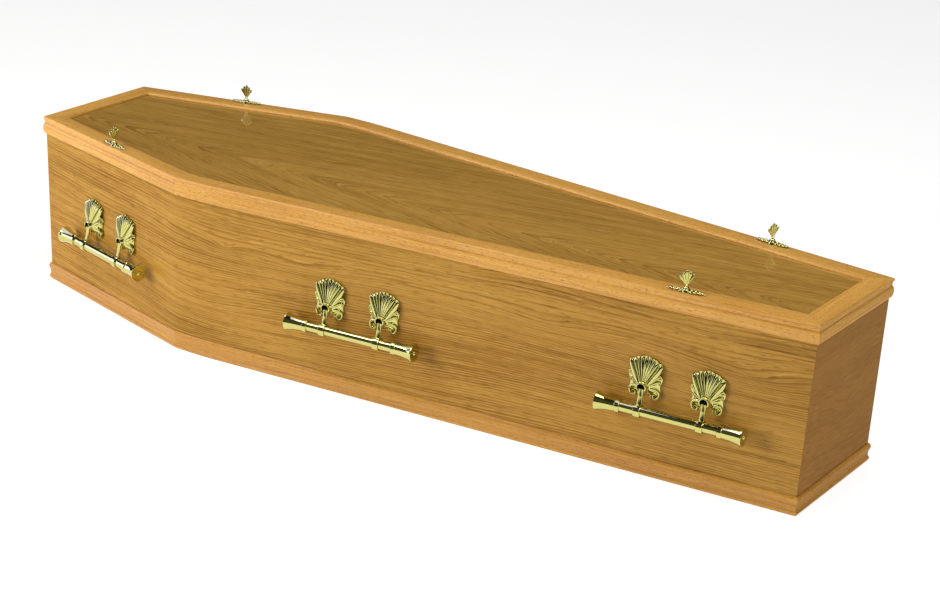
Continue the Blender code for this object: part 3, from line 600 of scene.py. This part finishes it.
# (flatness, points) of the outer leaf, its vein, the upper curl, the lower curl, the scroll, the slot's edge
plateStrokes = [
    (0.24, [(9, 16.0, 5, 6.0), (16, 12.4, 15, 9.5), (24.5, 8.6, 29, 12.0), (30.5, 5.8, 42, 9.0),
            (32.5, 4.6, 46.5, 4.5)]),
    (0.50, [(12, 15.0, 16, 1.0), (21.5, 11.4, 30, 1.5), (28.5, 8.2, 42, 0.9)]),
    (0.42, [(9, 16, 5, 4.0), (17, 12.4, 12, 5.5), (25, 9.6, 19.5, 6.0), (30.5, 7.8, 24.5, 5.0),
            (34, 6.6, 22.5, 3.6), (33, 6.0, 18.5, 2.8), (29.5, 5.8, 18, 2.2)]),
    (0.42, [(9.5, 15, 3, 4.5), (18, 10.8, 7, 6.0), (25.5, 8.4, 11.5, 5.5), (30.5, 6.8, 12, 4.0),
            (32, 5.8, 8.5, 3.0), (29.5, 5.4, 6, 2.2)]),
    (0.40, [(9, 14.5, -2, 4.5), (17, 10.2, -2.5, 6.5), (25, 8.0, -4.5, 6.5), (30.2, 6.9, -10, 5.2),
            (31, 6.4, -16.5, 4.4), (27.2, 6.2, -22.6, 4.2), (21.5, 6.0, -24.2, 3.8),
            (18.4, 5.8, -19.8, 3.0), (21, 5.8, -15.6, 2.6), (25, 5.6, -16.4, 2.0)]),
    (0.50, [(9.2, 16, -6, 2.8), (10, 11, -12, 3.0), (11.6, 8, -18, 2.8), (14, 6.4, -22.5, 2.4)]),
]


def outlineRadius(angle):
    fromBottom = min(angle % 360, 360 - angle % 360)
    for (low, first), (high, second) in zip(plateOutline, plateOutline[1:]):
        if fromBottom <= high:
            return (first + (second - first) * (fromBottom - low) / (high - low)) / 1000
    return plateOutline[-1][1] / 1000


def fanRib(angle, reach, width):
    turn = math.radians(angle)
    points = []
    for share, out, breadth in fanRibShape:
        radius = fanRoot + (reach - fanRoot) * share
        points.append((radius * math.sin(turn), out, -radius * math.cos(turn), width * breadth))
    return points


def platePiece():
    cast = plateCast
    collar = cast["socket"] + cast["collarWall"]
    bm = bmesh.new()
    socketShade = bm.verts.layers.float.new("socketShade")
    rings = []
    for angle in range(0, 360, cast["angleStep"]):
        turn = math.radians(angle)
        direction = Vector((math.sin(turn), 0, -math.cos(turn)))
        slot = min(angle, 360 - angle) <= cast["slotHalf"]
        rim = cast["lip"] if slot else cast["collarHeight"]
        edge = outlineRadius(angle)
        section = [(cast["eye"], cast["floor"] - 0.002), (cast["socket"] - 0.002, cast["floor"] - 0.001),
                   (cast["socket"] - 0.0003, cast["floor"] + cast["round"]),
                   (cast["socket"], rim - cast["round"]), (cast["socket"] + 0.0006, rim),
                   (collar - cast["round"], rim), (collar, rim - 0.0009)]
        inner = collar + 0.0006
        for i in range(cast["domeSteps"] + 1):
            share = i / cast["domeSteps"]
            dome = cast["dome"] * (1 - share) ** cast["domePower"]
            height = cast["edge"] + dome * (cast["slotDome"] if slot else 1.0)
            radius = inner + (edge - inner) * share
            section.append((radius, min(height, rim - 0.0012)))
        section += [(edge + 0.0001, cast["edge"] * 0.5), (edge - 0.0004, 0)]
        ring = [bm.verts.new(direction * radius + Vector((0, height, 0))) for radius, height in section]
        # painted shade: the socket's floor and inner wall are coloured near-black
        for vert in ring[:4]:
            vert[socketShade] = 1.0
        rings.append(ring)
    count = len(rings)
    for i in range(count):
        near, far = rings[i], rings[(i + 1) % count]
        for k in range(len(near) - 1):
            bm.faces.new((near[k], near[k + 1], far[k + 1], far[k]))
    bm.faces.new([ring[0] for ring in rings])
    bm.faces.new([ring[-1] for ring in reversed(rings)])
    for flatness, points in [*plateStrokes, *((0.5, fanRib(*rib)) for rib in fanRibs)]:
        addStroke(bm, points, flatness)
        if points[0][0] > 0.1:
            addStroke(bm, mirrored(points), flatness)
    return finishMesh(bm, "handlePlate", 50)


armCast = {"width": 11.2, "narrow": 10.0, "thick": 5.5, "waist": 0.12, "groove": 0.0016, "knuckle": 0.0043,
           "pin": 0.0016, "pinLength": 0.0103, "ringWall": 0.0028, "ringWidth": 0.0140, "ringCrown": 0.0003,
           "clearance": 0.0004, "soft": 0.0009, "strapSteps": 14, "strapSides": 20, "squareWide": 0.45,
           "squareThick": 0.55}


def armPiece():
    out = handle["barOff"] - handle["pivotOff"]
    length = math.hypot(out, handle["barDrop"])
    tilt = math.atan2(out, handle["barDrop"])
    ringInside = handle["barRadius"] + armCast["clearance"]
    ringOutside = ringInside + armCast["ringWall"]
    bm = bmesh.new()
    socketShade = bm.verts.layers.float.new("socketShade")
    toX = Matrix.Rotation(math.pi / 2, 4, "Y")
    pin, pinEnd = armCast["pin"], armCast["pinLength"]
    addTurned(bm, [(0, -pinEnd), (pin, -pinEnd), (pin, pinEnd), (0, pinEnd)], 16, toX)
    half = armCast["width"] / 2000
    knuckle = [(0, -half), (armCast["knuckle"] - 0.0008, -half), (armCast["knuckle"], -half + 0.0008),
               (armCast["knuckle"], half - 0.0008), (armCast["knuckle"] - 0.0008, half), (0, half)]
    addTurned(bm, knuckle, 28, toX)
    # painted shade: the pins, the knuckle and the strap's top are coloured near-black, as shade inside the
    # socket
    for vert in bm.verts:  # pins and knuckle lie in the socket
        vert[socketShade] = 1.0
    sections = []  # strap: rounded bar whose front is slightly crowned, from the knuckle down to the ring
    steps, sides = armCast["strapSteps"], armCast["strapSides"]
    for i in range(steps + 1):
        share = i / steps
        bow = math.sin(math.pi * share)
        wide = (armCast["width"] + (armCast["narrow"] - armCast["width"]) * bow) / 2000
        thick = armCast["thick"] / 2000 * (1 - armCast["waist"] * bow)
        z = -(length - ringInside - armCast["ringWall"] * 0.5) * share
        ring = []
        for k in range(sides):
            angle = 2 * math.pi * k / sides
            x = wide * math.copysign(abs(math.cos(angle)) ** armCast["squareWide"], math.cos(angle))
            y = thick * math.copysign(abs(math.sin(angle)) ** armCast["squareThick"], math.sin(angle))
            if k == sides // 4:  # the front's middle line dips into a groove that runs out half-way down
                x = 0.0
                y -= armCast["groove"] * max(0.0, 1 - 2 * share)
            vert = bm.verts.new((x, y, z))
            # painted shade on the strap's top two sections, which lie inside the socket
            vert[socketShade] = 1.0 if i < 2 else 0.0
            ring.append(vert)
        sections.append(ring)
    for near, far in zip(sections, sections[1:]):
        for k in range(sides):
            bm.faces.new((near[k], near[(k + 1) % sides], far[(k + 1) % sides], far[k]))
    bm.faces.new(sections[0])
    bm.faces.new(reversed(sections[-1]))
    halfRing, soft = armCast["ringWidth"] / 2, armCast["soft"]
    hoop = [(ringInside, -halfRing), (ringOutside - soft, -halfRing), (ringOutside, -halfRing + soft)]
    hoop += [(ringOutside + armCast["ringCrown"], 0), (ringOutside, halfRing - soft)]
    hoop += [(ringOutside - soft, halfRing)]
    hoop += [(ringInside, halfRing), (ringInside, -halfRing)]
    addTurned(bm, hoop, 48, Matrix.Translation((0, 0, -length)) @ toX)
    bmesh.ops.transform(bm, matrix=Matrix.Rotation(tilt, 4, "X"), verts=bm.verts)
    return finishMesh(bm, "handleArm", 42)


def barPiece():
    h = handle
    half, start = h["barLength"] / 2, h["barLength"] / 2 - h["capLength"]
    cap = [(h["barRadius"], start - 0.0006), (h["barRadius"] + 0.0008, start), (h["collar"] - 0.0006, start),
           (h["collar"], start + 0.0007), (h["collar"], start + h["band"]),
           (h["collar"] - 0.0007, start + h["band"] + 0.0010),
           (h["waist"] - 0.0003, start + h["band"] + 0.0015), (h["waist"], start + h["neck"])]
    flare = h["capLength"] - h["neck"] - h["dome"]
    for i in range(1, h["flareSteps"] + 1):
        share = i / h["flareSteps"]
        opening = h["flareStraight"] * share + (1 - h["flareStraight"]) * share ** h["flarePower"]
        radius = h["waist"] + (h["rim"] - h["waist"]) * opening
        cap.append((radius, start + h["neck"] + (flare - 0.001) * share))
    face = half - h["dome"]
    cap += [(h["rim"], face - 0.0004), (h["rim"] - 0.0005, face), (h["boss"], face)]
    cap += [(h["boss"] - 0.0003, face + 0.0010), (0.0030, half - 0.0006), (0.0013, half - 0.0001), (0, half)]
    profile = [(radius, -place) for radius, place in reversed(cap)] + cap
    bm = bmesh.new()
    addTurned(bm, profile, 48, Matrix.Rotation(math.pi / 2, 4, "Y"))
    return finishMesh(bm, "handleBar", 30)


def sideFrame(fromMiddle, side, offBoard, height):  # X along the side, Y outwards from the board, Z up
    end = head if fromMiddle < shoulderPoint().x else foot
    along = sideDirection(end)
    start = shoulderPoint()
    point = start + along * ((fromMiddle - start.x) / along.x) + outwardOf(along) * offBoard
    turn = Matrix(((along.x, along.y * side, 0), (-along.y, along.x * side, 0), (0, 0, 1))).transposed()
    if side == right:
        turn = turn @ Matrix.Diagonal((-1, 1, 1))
    return Matrix.Translation((point.x, point.y * side, height)) @ turn.to_4x4()


def makeHandles(brass):
    plate, arm, bar = platePiece(), armPiece(), barPiece()
    out = handle["barOff"] - handle["pivotOff"]
    headPlace = handle["fromHead"] - plan["length"] / 2
    footPlace = plan["length"] / 2 - handle["fromFoot"]
    places = {"head": headPlace, "middle": (headPlace + footPlace) / 2, "foot": footPlace}
    for side in (right, left):
        for place, middle in places.items():
            label = f"{sideNames[side]}_{place}"
            body = f"handle_{label}"
            pivot = sideFrame(middle, side, handle["pivotOff"], handle["pivotHeight"])
            for number, shift in ((1, -handle["platePitch"] / 2), (2, handle["platePitch"] / 2)):
                at = pivot @ Matrix.Translation((shift, plan["gap"] - handle["pivotOff"], 0))
                setPiece(f"leaf_plate_{label}_{number}", plate, brass, coffin,
                         [f"handle_plate_{label}_{number}"], at)
                setPiece(f"strap_arm_{label}_{number}", arm, brass, body,
                         [f"handle_arm_{label}_{number}"], pivot @ Matrix.Translation((shift, 0, 0)))
            setPiece(f"turned_bar_{label}", bar, brass, body, [f"handle_bar_{label}"],
                     pivot @ Matrix.Translation((0, out, -handle["barDrop"])))
    print("handles made")


# Thumbscrews: an upright palmette on a turned stem, through a leafy plate

screw = {"fromEnd": 0.267, "shank": 0.003, "bite": 0.013, "collar": 0.0055, "collarHeight": 0.004,
         "neck": 0.0025, "neckHeight": 0.006, "plateHeight": 0.006}
screwTurns = {"head_right": 106, "head_left": -10, "foot_right": 40, "foot_left": 80}
palmetteRibs = {  # (x, out, z, width) in millimetres from the foot of the leaf
    "middle": [(0, 0, 0, 4.2), (0, 0, 12, 4.8), (0, 0, 24, 6.6), (0, 0, 28.8, 4.2)],
    "inner": [(1.2, 0, 1, 3.6), (3.9, 0, 11, 4.6), (6.6, 0, 20, 6.4), (6.6, 0, 25.2, 4.2)],
    "outer": [(2.0, 0, 1, 3.2), (6.8, 0, 8.8, 4.4), (12.0, 0, 15.6, 6.0), (13.6, 0, 19.6, 3.8)],
}
palmetteWeb = [(2, 7), (10, 13), (18, 22), (24, 15)]  # (z, width), behind the ribs
wreathLeaves = [  # (x, z, angle, length, width) in millimetres and degrees, one quarter of the plate
    (8.0, 3.6, 40, 11, 5.2), (15.5, 3.4, 30, 12, 5.4), (23.0, 2.8, 24, 12, 5.0), (30.0, 2.0, 16, 10.5, 4.4)]
leafShape = [  # (share of the length, share of the width, height in millimetres)
    (0, 0.35, 1.9), (0.3, 0.9, 3.0), (0.62, 1.0, 3.1), (0.86, 0.55, 2.2), (1, 0.12, 1.2)]
leafSpine = [(6, 2.4, 4.0), (20, 2.2, 3.4), (33, 1.8, 2.6), (41, 1.2, 1.0)]  # (x, height, width)
leafRing = [(0.0006, 0.0060), (0.0062, 0.0060), (0.0072, 0.0052), (0.0078, 0.0030), (0.0088, 0.0012)]


def screwPiece():
    s = screw
    base = s["plateHeight"] + plan["gap"]
    top = base + s["collarHeight"] + s["neckHeight"]
    depth = -plan["lidDepth"] - s["bite"]
    turned = [(s["collar"] - 0.0004, 0), (s["collar"], 0.0006), (s["collar"], 0.0022),
              (s["collar"] - 0.0012, 0.0038), (s["neck"] + 0.0004, 0.0046), (s["neck"], 0.0060),
              (s["neck"] + 0.0005, 0.0074), (s["neck"] + 0.0013, 0.0082), (s["neck"] + 0.0005, 0.0092)]
    profile = [(0, depth), (s["shank"], depth + s["shank"]), (s["shank"], base)]
    profile += [(radius, base + rise) for radius, rise in turned] + [(0, top)]
    bm = bmesh.new()
    addTurned(bm, profile, 28)
    start = (top - 0.002) * 1000
    for name, points in palmetteRibs.items():
        lifted = [(x, out, z + start, width) for x, out, z, width in points]
        addStroke(bm, lifted, flatness=0.40)
        if points[0][0] > 0:
            addStroke(bm, mirrored(lifted), flatness=0.40)
    addStroke(bm, [(0, 0, start + z, width) for z, width in palmetteWeb], flatness=0.06, sides=16)
    return finishMesh(bm, "thumbscrew", 50)


def wreathPiece():
    bm = bmesh.new()
    hole = screw["shank"] + leafRing[0][0]
    section = [(hole, 0), (hole, leafRing[0][1]), *leafRing[1:], (leafRing[-1][0], 0), (hole, 0)]
    addTurned(bm, section, 32)
    up = Vector((0, 0, 1))
    for sx in (1, -1):
        addStroke(bm, [(sx * x, 0, z, width) for x, z, width in leafSpine], flatness=0.45, up=up)
        for sy in (1, -1):
            for x, y, angle, length, width in wreathLeaves:
                turn = math.radians(angle)
                dx, dy = math.cos(turn), math.sin(turn) * 0.9
                points = []
                for share, wide, lift in leafShape:
                    spot = (sx * (x - 3 + dx * length * share), sy * (y - 2 + dy * length * share))
                    points.append((*spot, lift, width * wide))
                addStroke(bm, points, flatness=0.32, steps=3, up=up)
    return finishMesh(bm, "leafyPlate", 50)


def makeThumbscrews(brass):
    stem, wreath = screwPiece(), wreathPiece()
    for side in (right, left):
        for end in (head, foot):
            label = f"{endNames[end]}_{sideNames[side]}"
            fromMiddle = end * (plan["length"] / 2 - screw["fromEnd"])
            place = sideFrame(fromMiddle, side, -plan["board"] / 2, plan["height"])
            turn = Matrix.Rotation(math.radians(screwTurns[label]), 4, "Z")
            setPiece(f"palmette_screw_{label}", stem, brass, coffin, [f"thumbscrew_{label}"],
                     place @ turn)
            setPiece(f"leafy_plate_{label}", wreath, brass, coffin, [f"wreath_plate_{label}"],
                     place @ Matrix.Translation((0, 0, plan["gap"])))
    print("thumbscrews made")


# Studio

camera = {"azimuth": 34.72, "elevation": 21.35, "roll": 2.26, "focal": 2191.0, "distance": 4.707,
          "middleX": 427.9, "middleY": 298.2, "slideX": -0.0060, "slideY": -0.0458, "aimHeight": 0.195,
          "wide": 940, "tall": 600}
lights = {  # place, what it looks at, size, watts, colour, seen by (both, wood alone, or shine alone)
    "key": ((-3.2, -4.2, 1.7), (0, 0, 0.2), (2.6, 2.2), 212, (1.0, 0.99, 0.97), "wood"),
    "top": ((1.2, 0.1, 3.6), (0.3, 0, 0.3), (2.6, 2.0), 78, (1.0, 1.0, 1.0), "both"),
    "strip": ((-2.1, -1.6, 3.2), (-0.3, 0, 0.2), (0.45, 2.8), 36, (1.0, 1.0, 0.97), "both"),
    "canopy": ((-2.1, -0.4, 3.2), (-0.6, -0.2, 0.2), (3.6, 3.0), 84, (0.42, 0.44, 1.0), "shine"),
    "window": ((-5.0, -2.2, 1.2), (0, -0.2, 0.2), (4.0, 2.2), 100, (0.43, 0.45, 1.0), "shine"),
    "foot": ((4.4, -0.6, 2.0), (0.4, 0, 0.2), (1.8, 1.8), 18.5, (1.0, 0.97, 0.93), "both"),
}
sky = {"low": 0.03, "horizon": (-0.02, 0.02), "front": (-0.1, 0.5), "bandStart": (0.14, 0.28),
       "bandEnd": (0.55, 0.80), "band": 0.05}
floorLook = {"radius": 14, "glow": 0.78, "first": (0.38, 0.38, 0.38), "second": (0.42, 0.42, 0.42)}


def aimed(place, target):
    return (Vector(target) - Vector(place)).to_track_quat("-Z", "Y").to_matrix().to_4x4()


def makeStudio():
    c = camera
    azimuth, elevation, roll = (math.radians(c[key]) for key in ("azimuth", "elevation", "roll"))
    level = math.cos(elevation)
    back = Vector((math.sin(azimuth) * level, -math.cos(azimuth) * level, math.sin(elevation)))
    flatRight = (-back).cross(Vector((0, 0, 1))).normalized()
    flatUp = flatRight.cross(-back)
    rightWay = flatRight * math.cos(roll) + flatUp * math.sin(roll)
    upWay = flatUp * math.cos(roll) - flatRight * math.sin(roll)
    place = Vector((0, 0, c["aimHeight"])) + back * c["distance"]
    place += rightWay * c["slideX"] + upWay * c["slideY"]
    data = bpy.data.cameras.new("photoCamera")
    data.sensor_width = 36
    data.lens = c["focal"] / c["wide"] * 36
    data.shift_x = (c["wide"] / 2 - c["middleX"]) / c["wide"]
    data.shift_y = (c["middleY"] - c["tall"] / 2) / c["wide"]
    data.clip_end = 60
    cam = bpy.data.objects.new("photoCamera", data)
    bpy.context.scene.collection.objects.link(cam)
    turn = Matrix((rightWay, upWay, back)).transposed().to_4x4()
    cam.matrix_world = Matrix.Translation(place) @ turn
    bpy.context.scene.camera = cam

    for name, (spot, target, size, watts, colour, seenBy) in lights.items():
        lamp = bpy.data.lights.new(name, "AREA")
        lamp.shape = "RECTANGLE"
        lamp.size, lamp.size_y = size
        lamp.energy = watts
        lamp.color = colour
        obj = bpy.data.objects.new(name, lamp)
        bpy.context.scene.collection.objects.link(obj)
        obj.matrix_world = Matrix.Translation(spot) @ aimed(spot, target)
        obj.visible_glossy = seenBy != "wood"
        obj.visible_diffuse = seenBy != "shine"

    world = bpy.data.worlds.new("studio")
    bpy.context.scene.world = world
    world.use_nodes = True
    tree = Tree(world.node_tree)
    away, up = tree.apart(tree.node("ShaderNodeTexCoord", {}, {}))[1:]
    below = 1.0 - tree.step(up, *sky["horizon"])
    front = tree.step(0.0 - away, *sky["front"])
    band = tree.step(up, *sky["bandStart"]) * (1.0 - tree.step(up, *sky["bandEnd"])) * front
    bright = below + sky["low"] + band * sky["band"]
    tree.plug(bright, tree.nodes["Background"].inputs["Strength"])
    tree.nodes["Background"].inputs["Color"].default_value = (1, 1, 1, 1)
    bpy.context.scene.view_settings.view_transform = "Standard"

    bm = bmesh.new()
    bmesh.ops.create_circle(bm, cap_ends=True, segments=96, radius=floorLook["radius"])
    floor = bpy.data.objects.new("paleFloor", finishMesh(bm, "paleFloor"))
    floor.location.z = -0.0002
    bpy.context.scene.collection.objects.link(floor)
    paper = Finish("palePaper")
    spotty = paper.noise(paper.node("ShaderNodeTexCoord", {}, {}, out=3), 2.0)
    paper.colour(paper.mix(spotty, floorLook["first"], floorLook["second"]))
    paper.roughness(0.8)
    paper.shader.inputs["Emission Color"].default_value = (1, 1, 1, 1)
    paper.shader.inputs["Emission Strength"].default_value = floorLook["glow"]
    floor.data.materials.append(paper.material)
    print("studio made")


makeStudio()
makeBoards()
makeMoulding("base_moulding", baseProfile(), 0, True, oak("oakBaseMoulding", baseLook),
             oak("oakBaseEnd", dict(baseLook, coat=endCoat)))
makeMoulding("lid_moulding", lidProfile(), plan["boxTop"], False, oak("oakMoulding", mouldingLook),
             oak("oakMouldingEnd", dict(mouldingLook, coat=endCoat)))
print("mouldings made")
shinyBrass = polishedBrass()
makeHandles(shinyBrass)
makeThumbscrews(shinyBrass)

bpy.context.view_layer.update()
